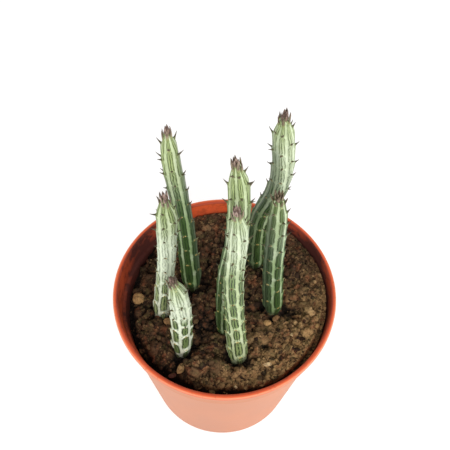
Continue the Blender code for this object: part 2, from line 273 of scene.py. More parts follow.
def makeStudio():
    deselectAll()
    bpy.ops.mesh.primitive_plane_add(size=60)
    floor = bpy.context.object
    floor.name = "floor"
    finish = Finish("floorPaper")
    tone = finish.grain(finish.place(), 3, 2)
    pale = seen(*studio["floorColour"])
    finish.set(
        Base_Color=finish.blend(tone, pale, tuple(0.98 * part for part in pale)),
        Roughness=0.9, Emission_Color=(1, 1, 1, 1), Emission_Strength=studio["floorGlow"],
    )
    floor.data.materials.append(finish.material)
    for name, lamp in studio["lamps"].items():
        light = bpy.data.lights.new(name, "AREA")
        light.size = lamp["size"]
        light.energy = lamp["power"]
        thing = bpy.data.objects.new(name, light)
        bpy.context.scene.collection.objects.link(thing)
        aim = Vector(studio["aim"]) - Vector(lamp["place"])
        turn = aim.to_track_quat("-Z", "Y").to_matrix().to_4x4()
        thing.matrix_world = Matrix.Translation(lamp["place"]) @ turn
    world = bpy.data.worlds.new("sky")
    bpy.context.scene.world = world
    world.use_nodes = True
    background = world.node_tree.nodes["Background"].inputs
    background["Color"].default_value = (1, 1, 1, 1)
    background["Strength"].default_value = studio["sky"]
    bpy.context.scene.view_settings.view_transform = "Standard"


# Pot: a half section drawn out point by point and spun

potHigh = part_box("pot")[1]
pot = {
    "rim": potHigh.x,
    "height": potHigh.z,
    "lipWidth": 1.9 * mm,
    "lipDepth": 1.6 * mm,
    "collar": 41.2 * mm,
    "collarFoot": 40.7 * mm,
    "stepHeight": 65 * mm,
    "stepWidth": 1.2 * mm,
    "stepSlope": 1.0 * mm,
    "stepOut": 0.8 * mm,
    "foot": 30 * mm,
    "footRing": 3 * mm,
    "floorRise": 1.6 * mm,
    "wall": 1.2 * mm,
    "rounding": 0.35 * mm,
    "turns": 160,
    "drainHoles": 6,
    "drainRadius": 3 * mm,
    "drainCircle": 18 * mm,
    "drillSides": 32,
    "drillTurn": math.radians(3),
    "drillLength": 12 * mm,
    "stainTop": 73 * mm,
    "stainFoot": 66 * mm,
}
pot["bodyTop"] = pot["collarFoot"] - pot["stepWidth"]


def bodyInside(height):
    # inside radius of the tapered wall under the step
    share = height / (pot["stepHeight"] - pot["stepSlope"])
    return pot["foot"] + (pot["bodyTop"] - pot["foot"]) * share - pot["wall"]


def potOutline():
    floorTop = pot["floorRise"] + pot["wall"]
    lipFoot = pot["height"] - pot["lipDepth"]
    return [
        (0, floorTop),
        (bodyInside(floorTop), floorTop),
        (pot["bodyTop"] - pot["wall"], pot["stepHeight"]),
        (pot["collarFoot"] - pot["wall"], pot["stepHeight"] + pot["stepSlope"]),
        (pot["rim"] - pot["lipWidth"], pot["height"]),
        (pot["rim"], pot["height"]),
        (pot["rim"], lipFoot),
        (pot["collar"], lipFoot),
        (pot["collarFoot"], pot["stepHeight"]),
        (pot["bodyTop"], pot["stepHeight"] - pot["stepSlope"]),
        (pot["foot"], 0),
        (pot["foot"] - pot["footRing"], 0),
        (pot["foot"] - pot["footRing"], pot["floorRise"]),
        (0, pot["floorRise"]),
    ]


def makePotPlastic():
    finish = Finish("potPlastic")
    place = finish.place()
    cloud = finish.grain(place, 45, 3)
    fine = finish.grain(place, 1400, 2)
    height = finish.part(place, "Z")
    across = finish.part(place, "X")
    back = finish.part(place, "Y")
    radius = (across**2 + back**2) ** 0.5
    overStep = height.between(pot["stepHeight"] - 0.2 * mm, pot["stepHeight"] + 0.2 * mm)
    depth = radius - bodyInside(height) - overStep * pot["stepOut"]

    # inside: soil smudges up to the soil's slope and in patches, and painted shade on both side walls and
    # in the back corners
    inside = depth.between(0.72 * mm, 0.32 * mm) * height.between(4 * mm, 8 * mm)
    nearSoil = (height - across * soil["slopeRight"]).between(pot["stainTop"], pot["stainFoot"])
    smudge = finish.grain(place, 260, 4, 0.65).between(0.46, 0.70)
    sides = across.size().between(26 * mm, 38 * mm) * back.between(-18 * mm, -6 * mm)
    corners = across.size().between(17 * mm, 25 * mm) * back.between(8 * mm, 22 * mm)
    smudgeAndShade = inside * (nearSoil * 0.5 + smudge * 0.35 + sides * 0.42 + corners * 0.55 + 0.04)

    # outside: paler under the lip, a painted glare of the bright surroundings; on the lip, painted shade
    # along the inner edge and a painted highlight along the outer edge
    outer = depth.between(0.82 * mm, 1.02 * mm)
    outer = outer * height.between(pot["height"] - 0.7 * mm, pot["height"] - 1.4 * mm)
    lip = height.between(pot["height"] - 0.8 * mm, pot["height"] - 0.1 * mm)
    lipInnerShade = lip * radius.between(pot["rim"] - 0.5 * mm, pot["rim"] - 1.5 * mm)
    lipOuterHighlight = lip * radius.between(pot["rim"] - 0.8 * mm, pot["rim"] - 0.1 * mm)
    dusty = finish.grain(place, 700, 3, 0.7).between(0.55, 0.72) * lip
    deep = finish.blend(cloud.between(0.3, 0.7), seen(210, 84, 42), seen(220, 92, 48))
    glaredOrange = finish.blend(cloud.between(0.3, 0.7), seen(190, 118, 78), seen(198, 124, 84))
    colour = finish.blend(outer, deep, glaredOrange)
    colour = finish.blend(lipInnerShade * 0.7, colour, seen(140, 52, 34))
    colour = finish.blend(lipOuterHighlight * 0.75, colour, seen(222, 148, 110))
    # soil smudges and painted shade on the inner walls
    colour = finish.blend(smudgeAndShade, colour, seen(68, 22, 12))
    colour = finish.blend(dusty * 0.4, colour, seen(140, 76, 48))
    finish.set(
        Base_Color=colour, Roughness=0.42 + cloud * 0.10 + smudgeAndShade * 0.3, IOR=1.42,
        Normal=finish.relief(fine, 0.12, 0.03 * mm),
    )
    return finish.material


def makePot():
    deselectAll()
    bpy.ops.mesh.primitive_plane_add(size=1 * mm)
    piece = bpy.context.object
    piece.name = "nurseryPot"
    bpy.ops.object.mode_set(mode="EDIT")
    bpy.ops.mesh.select_mode(type="VERT")
    bpy.ops.mesh.select_all(action="SELECT")
    bpy.ops.mesh.merge(type="CENTER")
    last = Vector((0, 0, 0))
    for count, (radius, height) in enumerate(potOutline()):
        here = Vector((radius, 0, height))
        if count == 0:
            bpy.ops.transform.translate(value=here - last)
        else:
            bpy.ops.mesh.extrude_region_move(TRANSFORM_OT_translate={"value": here - last})
        last = here
    bpy.ops.mesh.select_all(action="SELECT")
    bpy.ops.mesh.spin(steps=pot["turns"], angle=math.tau, center=(0, 0, 0), axis=(0, 0, 1))
    weld(piece)
    rounding = {"width": pot["rounding"], "segments": 3, "angle_limit": math.radians(25)}
    applyModifier(piece, "BEVEL", {**rounding, "limit_method": "ANGLE"})
    for hole in range(pot["drainHoles"]):
        bearing = math.tau * hole / pot["drainHoles"]
        spot = pot["drainCircle"] * Vector((math.cos(bearing), math.sin(bearing), 0))
        deselectAll()
        bpy.ops.mesh.primitive_cylinder_add(
            vertices=pot["drillSides"], radius=pot["drainRadius"], depth=pot["drillLength"],
            location=spot, rotation=(0, 0, pot["drillTurn"]),
        )
        drill = bpy.context.object
        applyModifier(piece, "BOOLEAN", {"operation": "DIFFERENCE", "object": drill})
        bpy.data.objects.remove(drill)
    pick(piece)
    bpy.ops.object.shade_smooth_by_angle(angle=math.radians(35))
    piece.data.materials.append(makePotPlastic())
    settle(piece, "pot_plastic", "pot")


# Stems: the same paths as the solids, in millimetres as x, height and radius
# bars: how plain the pale bars between a rib's panels are, at the foot and the crown
# side shade: bearing of the stem's side painted in shade where it faces the other stems, from the right,
# and how dark it is painted
# greens: how dark the panels are at the foot, the middle and the crown
# crown: how far the stem narrows under it, how far its leaves lean out and how mauve they are
# frost: where the white bloom starts on the bands and on the panels, where it fades and ends,
# how much of it there is and its least share on a panel

stems = {
    "LeftBack": {
        "node": "stem_left_back", "ribs": 6, "turn": -5, "twist": 14, "leafStep": 10.4, "y": 8.9,
        "bars": (0.15, 0.12), "shadedFlank": (10, 0.70), "greens": (0.95, 0.92, 0.16),
        "crown": (1.0, 0.0, 1.0),
        "frost": (0.45, 0.55, 0.72, 0.92, 0.16, 0.0), "path": [
            (-13.0, 66.7, 4.1), (-14.1, 88.3, 3.9), (-15.1, 108.0, 3.7), (-16.9, 129.6, 3.5),
            (-18.5, 146.0, 3.3), (-19.2, 157.4, 2.8), (-19.4, 162.8, 2.0),
        ],
    },
    "LeftMiddle": {
        "node": "stem_left_middle", "ribs": 6, "turn": 12, "twist": -30, "leafStep": 9.6, "y": -3.6,
        "bars": (0.85, 0.20), "shadedFlank": (10, 0.25), "greens": (0.34, 0.42, 0.38),
        "crown": (0.9, 0.05, 1.0),
        "frost": (-0.30, 0.28, 0.62, 0.94, 0.85, 0.08), "path": [
            (-24.0, 65.5, 3.9), (-22.3, 86.0, 3.6), (-20.6, 108.0, 3.5), (-20.0, 123.0, 3.6),
            (-19.6, 134.5, 3.6), (-19.8, 140.5, 3.1), (-20.0, 144.8, 2.1),
        ],
    },
    "LeftFront": {
        "node": "stem_left_front", "ribs": 6, "turn": 30, "twist": -15, "leafStep": 8.6, "y": -18.9,
        "bars": (1.00, 0.50), "shadedFlank": (0, 0.0), "greens": (0.52, 0.52, 0.40),
        "crown": (0.8, 0.05, 1.0),
        "frost": (-0.50, 0.48, 0.76, 0.98, 0.95, 0.0), "path": [
            (-15.4, 65.5, 4.0), (-15.1, 84.0, 4.1), (-15.1, 100.0, 3.9), (-15.9, 111.0, 3.4),
            (-17.3, 118.2, 2.1),
        ],
    },
    "CentreBack": {
        "node": "stem_centre_back", "ribs": 7, "turn": 0, "twist": 15, "leafStep": 10.8, "y": -10.8,
        "bars": (0.15, 0.12), "shadedFlank": (0, 0.20), "greens": (0.90, 0.75, 0.30),
        "crown": (1.0, 0.0, 0.8),
        "frost": (0.45, 0.55, 0.62, 0.80, 0.22, 0.0), "path": [
            (1.1, 66.9, 4.1), (0.8, 90.0, 4.0), (1.2, 111.9, 3.8), (2.9, 130.0, 3.7),
            (3.5, 148.7, 3.8), (3.1, 162.5, 3.4), (2.4, 170.5, 2.8), (1.9, 175.5, 2.1),
        ],
    },
    "CentreFront": {
        "node": "stem_centre_front", "ribs": 6, "turn": 20, "twist": -50, "leafStep": 9.4, "y": -21.2,
        "bars": (0.90, 0.25), "shadedFlank": (10, 0.15), "greens": (0.40, 0.56, 0.42),
        "crown": (0.7, 0.10, 1.0),
        "frost": (0.56, 0.62, 0.90, 1.04, 0.52, 0.0), "path": [
            (5.7, 66.9, 4.2), (4.3, 90.0, 3.8), (3.3, 109.0, 3.6), (2.7, 129.0, 3.5),
            (3.3, 144.0, 3.2), (3.4, 156.0, 3.0), (2.6, 166.1, 2.0),
        ],
    },
    "RightBack": {
        "node": "stem_right_back", "ribs": 7, "turn": 5, "twist": -15, "leafStep": 10.0, "y": 18.0,
        "bars": (0.30, 0.20), "shadedFlank": (195, 0.65), "greens": (0.85, 0.65, 0.24),
        "crown": (0.9, 0.05, 1.0),
        "frost": (0.40, 0.48, 0.84, 1.04, 0.48, 0.0), "path": [
            (11.8, 68.8, 4.1), (11.5, 87.0, 4.0), (11.8, 98.5, 3.9), (13.2, 107.5, 3.8),
            (15.6, 115.5, 3.8), (17.4, 124.5, 3.9), (17.8, 136.0, 4.0), (17.1, 147.0, 3.9),
            (16.7, 154.5, 3.5), (16.6, 160.5, 2.3),
        ],
    },
    "RightFront": {
        "node": "stem_right_front", "ribs": 6, "turn": 30, "twist": 0, "leafStep": 9.6, "y": -1.8,
        "bars": (0.35, 0.55), "shadedFlank": (200, 0.75), "greens": (0.95, 0.95, 0.55),
        "crown": (0.3, 0.26, 0.35),
        "frost": (0.40, 0.55, 0.70, 0.92, 0.14, 0.0), "path": [
            (18.8, 68.5, 4.0), (17.6, 86.0, 3.9), (16.8, 103.0, 3.7), (16.5, 120.0, 3.5),
            (16.3, 134.5, 3.2), (15.9, 144.8, 2.1),
        ],
    },
}
growth = {
    "footDepth": 13 * mm,
    "footRounding": 1.6 * mm,
    "footNarrowing": 0.45,
    "tipStart": 1.2 * mm,
    "tipRise": 0.7 * mm,
    "rowStep": 0.36 * mm,
    "columnsPerRib": 16,
    "firstLeaf": 6.0 * mm,
    "lastLeaf": 3.6 * mm,
    "placeStep": 0.05 * mm,
    "crowding": 0.30,
    "leafWidth": 0.90 * mm,
    "leafWidening": 0.30 * mm,
    "leafRoot": 0.96,
    "hookLow": 0.8 * mm,
    "hookHigh": 3.0 * mm,
    "leafSlope": math.radians(42),
    "shift": 1.4 * mm,
    "shiftPitch": 6.5 * mm,
    "shiftFade": 8 * mm,
    "groove": 0.14,
    "cushion": 0.10,
    "mapOffset": 40,
    "waist": 0.20,
    "waistLength": 3.6 * mm,
    "neck": 0.40,
    "neckLength": 0.5 * mm,
    "shoulderLength": 9.5 * mm,
}


class Spine:
    # smooth centre line, measured by its length from the soil
    def __init__(self, stem):
        knots = np.array([(x, stem["y"], height, radius) for x, height, radius in stem["path"]]) * mm
        knots = np.vstack([2 * knots[0] - knots[1], knots, 2 * knots[-1] - knots[-2]])
        t = np.linspace(0, 1, 41)[1:, None]
        runs = [knots[1:2]]
        for a, b, c, d in zip(knots, knots[1:], knots[2:], knots[3:]):
            bend = (2 * a - 5 * b + 4 * c - d) * t**2 + (3 * b - a - 3 * c + d) * t**3
            runs.append(0.5 * (2 * b + (c - a) * t + bend))
        self.samples = np.vstack(runs)
        strides = np.diff(self.samples[:, :3], axis=0)
        lengths = np.linalg.norm(strides, axis=1)
        self.marks = np.concatenate([[0], np.cumsum(lengths)])
        self.length = self.marks[-1]
        self.up = np.vstack([strides[:1] / lengths[0], strides / lengths[:, None]])

    def read(self, table, inside):
        return np.stack([np.interp(inside, self.marks, column) for column in table.T], axis=-1)

    def at(self, along):
        # centre, right and up directions and radius; both ends run on straight
        inside = np.clip(along, 0, self.length)
        here = self.read(self.samples, inside)
        up = self.read(self.up, inside)
        up /= np.linalg.norm(up, axis=-1, keepdims=True)
        right = np.stack([up[..., 2], 0 * up[..., 0], -up[..., 0]], axis=-1)
        return here[..., :3] + up * (along - inside)[..., None], right, up, here[..., 3]


def smooth(value, low, high):
    share = np.clip((value - low) / (high - low), 0, 1)
    return share * share * (3 - 2 * share)


def onStem(stem, spine, ribPlace, along, swell):
    # point on the stem's skin, and the outward and up directions there
    bearing = math.tau * ribPlace / stem["ribs"]
    bearing = bearing + np.radians(stem["turn"] + stem["twist"] * along / spine.length - 90)
    fade = np.clip(np.minimum(along, spine.length - along) / growth["shiftFade"], 0, 1)
    along = along + growth["shift"] * fade * np.sin(bearing + along / growth["shiftPitch"])
    centre, right, up, radius = spine.at(along)
    outwards = right * np.cos(bearing)[..., None] + np.array([0, 1, 0]) * np.sin(bearing)[..., None]
    return centre + outwards * (radius * swell)[..., None], outwards, up


def slimness(stem, spine, along):
    # stems are thinner where they leave the soil and under their crowns
    waist = growth["waist"] * np.clip(1 - along / growth["waistLength"], 0, 1) ** 1.6
    neck = smooth(spine.length - along, growth["shoulderLength"], growth["neckLength"])
    neck *= growth["neck"] * stem["crown"][0]
    return (1 - waist) * (1 - neck)


def rowOf(stem, spine, along):
    # number of leaf rows up to a place, with the rows closer together towards the crown
    step = stem["leafStep"] * mm * (1 + growth["crowding"])
    return (along - growth["firstLeaf"]) / step * (1 + growth["crowding"] * along / spine.length)


def leafPlaces(stem, spine):
    # rib and place along it of each leaf; every second rib's leaves stand half a row higher
    inside = np.arange(growth["firstLeaf"], spine.length - growth["lastLeaf"], growth["placeStep"])
    rows = rowOf(stem, spine, inside)
    for rib in range(stem["ribs"]):
        for row in np.arange(rib % 2 / 2, rows[-1], 1):
            yield rib, np.interp(row, rows, inside)


def cellOf(stem, spine, rib, along):
    # how far below its leaf a place on the rib is, from 0 at the leaf to 1 at the next one
    return rib % 2 / 2 - rowOf(stem, spine, along)


def stemRows(spine):
    # heights of the mesh's rows along the stem, the first and the last of them closed
    foot = -growth["footDepth"]
    tip = spine.length - growth["tipStart"]
    top = spine.length + growth["tipRise"]
    return np.concatenate([
        [foot, foot], np.linspace(foot + growth["footRounding"], -1 * mm, 5),
        np.arange(0, tip, growth["rowStep"]), np.linspace(tip, top, 9), [top],
    ])


def swellOf(stem, spine, around, along):
    # how far the skin stands out: grooves, a cushion under each leaf, a waist, a neck and round ends
    rib = np.floor(around + 0.5).astype(int)
    across = around - rib
    cell = (cellOf(stem, spine, rib % stem["ribs"], along) - across**2) % 1
    crest = (0.5 + 0.5 * np.cos(math.tau * across)) ** 0.8
    cushion = np.maximum((1 - cell) ** 2, smooth(cell, 0.93, 1.0)) * growth["cushion"]
    swell = (1 - growth["groove"]) * (1 - crest) + (1 - growth["cushion"] / 2 + cushion) * crest
    foot = growth["footDepth"]
    swell *= 1 - growth["footNarrowing"] * smooth(-along, foot - growth["footRounding"], foot)
    tip = (along - spine.length + growth["tipStart"]) / (growth["tipStart"] + growth["tipRise"])
    return swell * slimness(stem, spine, along) * np.sqrt(1 - tip.clip(0, 1) ** 2)


def tintStem(piece, stem, share, outwards):
    # what the skin's pattern needs to know of the stem's own colours and of its painted side shade
    bearing, shadeAmount = stem["shadedFlank"]
    shadedFlank = np.array([math.cos(math.radians(bearing)), math.sin(math.radians(bearing)), 0])
    bands, panels, fading, end, amount, least = stem["frost"]
    bloom = smooth(share, end, fading) * amount
    giveValues(piece, "age", share)
    giveValues(piece, "bars", np.interp(share, (0.3, 0.7), stem["bars"]))
    giveValues(piece, "shadedFlank", smooth(outwards @ shadedFlank, 0.25, 0.95) * shadeAmount * smooth(share, 1.0, 0.80))
    giveValues(piece, "green", np.interp(share, (0.05, 0.50, 0.95), stem["greens"]))
    giveValues(piece, "bandFrost", smooth(share, bands, bands + 0.25) * bloom)
    giveValues(piece, "panelFrost", (least + (1 - least) * smooth(share, panels, panels + 0.20)) * bloom)


def mapRibs(piece, stem, spine, around, along):
    # the pattern's own map: rib number and place across it, then leaf number and place below it
    corners = np.empty(len(piece.data.loops), int)
    piece.data.loops.foreach_get("vertex_index", corners)
    middles = np.repeat(around[corners].reshape(-1, 4).mean(axis=1), 4)
    faceRib = np.floor(middles + 0.5).astype(int)
    u = around[corners] + 0.5
    v = growth["mapOffset"] - cellOf(stem, spine, faceRib % stem["ribs"], along[corners])
    layer = piece.data.uv_layers.active or piece.data.uv_layers.new()
    layer.name = "ribMap"
    layer.data.foreach_set("uv", np.stack([u, v], axis=-1).astype(np.float32).ravel())


def makeStemBody(name, stem, spine):
    rows = stemRows(spine)
    columns = growth["columnsPerRib"] * stem["ribs"]
    deselectAll()
    bpy.ops.mesh.primitive_grid_add(x_subdivisions=columns, y_subdivisions=len(rows) - 1, size=2)
    piece = bpy.context.object
    piece.name = name
    flat = pointsOf(piece)
    around = (flat[:, 0] + 1) / 2 * stem["ribs"] - 0.5
    row = np.rint((flat[:, 1] + 1) / 2 * (len(rows) - 1)).astype(int)
    along = rows[row]
    swell = swellOf(stem, spine, around, along)
    swell[(row == 0) | (row == len(rows) - 1)] = 0
    points, outwards, _ = onStem(stem, spine, around, along, swell)
    movePoints(piece, points)
    tintStem(piece, stem, along / spine.length, outwards)
    mapRibs(piece, stem, spine, around, along)
    weld(piece)
    return piece


def makeLeafShape(name, sides, rings, thickness, curve, bluntness, flare):
    # one leaf of unit length and width along Z, widest at its foot and curving towards +Y,
    # with one row more than its rings to close the foot
    deselectAll()
    bpy.ops.mesh.primitive_grid_add(x_subdivisions=sides, y_subdivisions=rings + 1, size=2)
    piece = bpy.context.object
    piece.name = name
    flat = pointsOf(piece)
    bearing = (flat[:, 0] + 1) * math.pi
    row = np.rint((flat[:, 1] + 1) / 2 * (rings + 1))
    height = np.maximum(row - 1, 0) / rings
    half = ((1 - flare) * (1 - height**bluntness) + flare * (1 - height) ** 5) / 2
    half = np.where(row > 0, half, 0)
    x = np.cos(bearing) * half
    y = np.sin(bearing) * half * thickness + curve * height**2
    movePoints(piece, np.stack([x, y, height], axis=-1))
    weld(piece)
    return piece


def scatterCopies(name, shape, placements, values):
    # one mesh of many placed copies of a shape, each with its own values
    points = pointsOf(shape)
    faces = [list(face.vertices) for face in shape.data.polygons]
    allPoints = []
    allFaces = []
    for number, placement in enumerate(placements):
        allPoints.append(points @ np.array(placement.to_3x3()).T + np.array(placement.translation))
        allFaces += [[corner + number * len(points) for corner in face] for face in faces]
    mesh = bpy.data.meshes.new(name)
    mesh.from_pydata(np.vstack(allPoints).tolist(), [], allFaces)
    piece = bpy.data.objects.new(name, mesh)
    bpy.context.scene.collection.objects.link(piece)
    giveValues(piece, "rise", np.tile(points[:, 2], len(placements)))
    for key, numbers in values.items():
        giveValues(piece, key, np.repeat(numbers, len(points)))
    return piece


def standing(point, direction, face, width, length):
    # places a unit leaf: its length along direction and its curve towards face
    along = Vector(direction).normalized()
    side = Vector(face).cross(along).normalized()
    turn = Matrix((side, along.cross(side), along)).transposed().to_4x4()
    return Matrix.Translation(Vector(point)) @ turn @ Matrix.Diagonal((width, width, length, 1))


def makeStemLeaves(name, stem, spine, shape, dice):
    placements = []
    ages = []
    for rib, along in leafPlaces(stem, spine):
        age = along / spine.length
        reach = growth["hookLow"] + (growth["hookHigh"] - growth["hookLow"]) * age
        reach *= dice.uniform(0.85, 1.15)
        width = growth["leafWidth"] + growth["leafWidening"] * age
        swell = growth["leafRoot"] * slimness(stem, spine, along)
        point, outwards, up = onStem(stem, spine, np.float64(rib), np.float64(along), swell)
        lean = growth["leafSlope"] + dice.uniform(-0.35, 0.15) + 0.4 * smooth(age, 0.85, 1.0)
        sideways = np.cross(up, outwards) * dice.uniform(-0.22, 0.22)
        direction = outwards * math.cos(lean) + up * math.sin(lean) + sideways
        placements.append(standing(point, direction, up, width, reach))
        ages.append(age)
    return scatterCopies(name, shape, placements, {"age": ages, "tone": dice.uniform(0, 1, len(ages))})


crownWhorls = [
    # leaves, ring, rise, length, lean, width, and how mauve they are
    (6, 0.58, -2.9 * mm, 5.6 * mm, 0.03, 1.00 * mm, 0.35),
    (6, 0.36, -1.8 * mm, 5.1 * mm, 0.00, 1.10 * mm, 0.90),
    (3, 0.14, -0.8 * mm, 4.2 * mm, 0.00, 1.20 * mm, 1.00),
]


def makeCrown(name, stem, spine, shape, dice):
    placements = []
    mauves = []
    spread, mauveness = stem["crown"][1:]
    for level, (count, ring, rise, length, lean, width, mauve) in enumerate(crownWhorls):
        for number in range(count):
            ribPlace = np.float64((number + level / 2) * stem["ribs"] / count + dice.uniform(-0.15, 0.15))
            along = np.float64(spine.length + rise + dice.uniform(-0.4, 0.3) * mm)
            point, outwards, up = onStem(stem, spine, ribPlace, along, np.float64(ring))
            tilt = lean + spread * (1 - level / 3) + dice.uniform(-0.06, 0.10)
            direction = outwards * math.sin(tilt) + up * math.cos(tilt)
            grown = length * dice.uniform(0.84, 1.0)
            placements.append(standing(point, direction, -outwards, width * (1 + spread), grown))
            mauves.append(mauve * mauveness)
    tones = dice.uniform(0, 1, len(mauves))
    values = {"age": np.ones(len(mauves)), "tone": tones, "mauve": mauves}
    return scatterCopies(name, shape, placements, values)


def makeStemSkin():
    finish = Finish("stemSkin")
    place = finish.place()
    ribMap = finish.add("UVMap", {"uv_map": "ribMap"})
    u = finish.part(ribMap, "X")
    v = finish.part(ribMap, "Y")
    age = finish.value("age")
    bandFrost = finish.value("bandFrost")
    panelFrost = finish.value("panelFrost")
    wobble = finish.grain(place, 380, 2) - 0.5
    wobbleUp = finish.grain(place, 250, 2) - 0.5
    whichLeaf = finish.add("CombineXYZ", {}, {0: u.floor(), 1: v.floor()})
    luck = finish.add("TexWhiteNoise", {"noise_dimensions": "2D"}, {"Vector": whichLeaf}, "Value")

    across = u.fract() - 0.5 + wobble * 0.16
    cell = (2 - v.fract() - across * across * 1.1 + wobbleUp * 0.12).fract()
    bars = finish.value("bars")
    side = across / (0.28 + luck * 0.07 + (1 - age) * 0.04)
    reach = (cell - 0.50 + luck * 0.06) / (0.35 + luck * 0.10)
    closing = reach.size() ** 3
    edge = side * side + closing * bars
    panel = edge.between(1.20, 0.78)
    breaks = finish.grain(finish.stretched(1, 1, 0.35), 700, 2).between(0.34, 0.46)
    outline = edge.between(0.62, 0.98) * edge.between(1.36, 1.08) * (0.4 + bars * 0.6) * breaks

    # fine lines that run down from each leaf and spread
    spread = 0.45 + 0.55 * cell.between(0.0, 0.40)
    young = age.between(0.60, 0.86)
    lineWave = (side / spread * (math.tau / (0.66 + luck * 0.16)) + wobble * 3).wave()
    lines = lineWave.between(-0.10, 0.45) * breaks.atLeast(young * 0.7)
    lines = lines * cell.between(1.0, 0.88) * side.size().between(1.2, 1.0)
    dark = finish.value("green")

    cloud = finish.grain(place, 160, 3)
    fleck = finish.grain(finish.stretched(1, 1, 0.5), 1400, 3, 0.7)
    band = finish.blend(dark.between(0.3, 1.0), seen(180, 194, 148), seen(132, 156, 108))
    band = finish.blend(cloud.between(0.45, 0.75) * 0.5, band, seen(204, 212, 188))
    band = finish.blend(cloud.between(0.50, 0.34) * 0.45, band, seen(126, 146, 96))
    green = finish.blend(dark.between(0.25, 0.65), seen(158, 174, 116), seen(90, 114, 64))
    green = finish.blend(dark.between(0.5, 1.0), green, seen(56, 82, 36))
    green = finish.blend(cloud.between(0.35, 0.70) * dark * 0.5, green, seen(42, 64, 28))
    crossBar = closing.between(0.8, 1.8) * side.size().between(1.0, 0.7)
    skin = finish.blend(panel.atLeast(crossBar * 0.35), band, green)

    # waxy bloom: the bands keep it longer than the panels
    wear = cloud.between(0.25, 0.60) * 0.4 + fleck.between(0.30, 0.62) * 0.4 + 0.45
    bloom = ((bandFrost + (panelFrost - bandFrost) * panel) * wear).atMost(0.92)
    skin = finish.blend(bloom, skin, seen(212, 221, 198))
    lineTone = finish.blend(young, seen(34, 54, 24), seen(70, 82, 34))
    lineTone = finish.blend(bloom * 0.5, lineTone, seen(84, 96, 74))
    # painted shade on the side that faces the other stems, in patches
    skin = finish.blend(finish.value("shadedFlank") * (0.6 + cloud * 0.6), skin, seen(78, 92, 74))
    skin = finish.blend((lines * (0.95 - bloom * 0.5)).atLeast(outline * 0.6), skin, lineTone)
    arch = outline * cell.between(0.30, 0.05)
    skin = finish.blend(arch * 0.8, skin, seen(58, 66, 38))
    toLeaf = cell.atMost(1 - cell)
    scar = (side * side * 5 + toLeaf * toLeaf * 1600).between(1.1, 0.5)
    skin = finish.blend(scar * (0.85 - 0.55 * young), skin, seen(204, 170, 96))
    skin = finish.blend(fleck.between(0.62, 0.80) * 0.18, skin, seen(228, 234, 208))
    skin = finish.blend(age.between(0.02, -0.01) * 0.6, skin, seen(52, 42, 28))

    ridges = finish.relief(lines * -1 - arch * 1.4 + panel * 0.6, 0.55, 0.12 * mm)
    pores = finish.relief(fleck, 0.22, 0.06 * mm, ridges)
    finish.set(Base_Color=skin, Roughness=0.46 + bloom * 0.34 + cloud * 0.08, Normal=pores, IOR=1.42)
    return finish.material


def makeLeafBrown():
    finish = Finish("leafBrown")
    place = finish.place()
    age = finish.value("age")
    tone = finish.value("tone")
    rise = finish.value("rise")
    streak = finish.grain(place, 1600, 3)
    fresh = finish.blend(tone, seen(74, 70, 48), seen(92, 80, 60))
    dry = finish.blend(tone, seen(170, 164, 112), seen(138, 128, 80))
    colour = finish.blend(age.between(0.22, 0.50), dry, fresh)
    colour = finish.blend(rise.between(0.35, 0.0) * 0.6, colour, seen(120, 132, 80))
    colour = finish.blend(rise.between(0.6, 1.0) * 0.6, colour, seen(58, 44, 38))
    colour = finish.blend(streak.between(0.5, 0.75) * 0.4, colour, seen(52, 40, 32))
    furrows = finish.relief(streak, 0.4, 0.05 * mm)
    finish.set(Base_Color=colour, Roughness=0.6 + streak * 0.2, Normal=furrows)
    return finish.material


def makeCrownBrown():
    finish = Finish("crownBrown")
    place = finish.place()
    tone = finish.value("tone")
    rise = finish.value("rise")
    streak = finish.grain(finish.stretched(1, 1, 0.3), 1300, 3)
    mauve = finish.blend(tone, seen(122, 98, 84), seen(184, 158, 146))
    olive = finish.blend(tone, seen(92, 88, 54), seen(112, 104, 70))
    colour = finish.blend(finish.value("mauve"), olive, mauve)
    colour = finish.blend(streak.between(0.46, 0.60) * 0.75, colour, seen(74, 54, 44))
    colour = finish.blend(rise.between(0.45, 0.08), colour, seen(138, 148, 92))
    colour = finish.blend(rise.between(0.72, 1.0) * 0.7, colour, seen(66, 48, 42))
    finish.set(Base_Color=colour, Roughness=0.6, Normal=finish.relief(streak, 0.5, 0.06 * mm))
    return finish.material


def makeStems():
    dice = np.random.default_rng(11)
    skin, leafBrown, crownBrown = makeStemSkin(), makeLeafBrown(), makeCrownBrown()
    leafShape = makeLeafShape("leafShape", 6, 7, 0.75, 0.34, 2.2, 0.55)
    crownShape = makeLeafShape("crownShape", 8, 7, 0.5, 0.10, 3.0, 0.0)
    for name, stem in stems.items():
        spine = Spine(stem)
        body = makeStemBody("stem" + name, stem, spine)
        leaves = makeStemLeaves("leaves" + name, stem, spine, leafShape, dice)
        crown = makeCrown("crown" + name, stem, spine, crownShape, dice)
        for part, material in ((body, skin), (leaves, leafBrown), (crown, crownBrown)):
            smoothAndDress(part, material)
        pick(body, leaves, crown)
        bpy.ops.object.join()
        settle(body, "stem_skin", stem["node"])
    bpy.data.objects.remove(leafShape)
    bpy.data.objects.remove(crownShape)


# Soil: a plug with fine relief on top, and loose crumbs, chips and a pebble on it

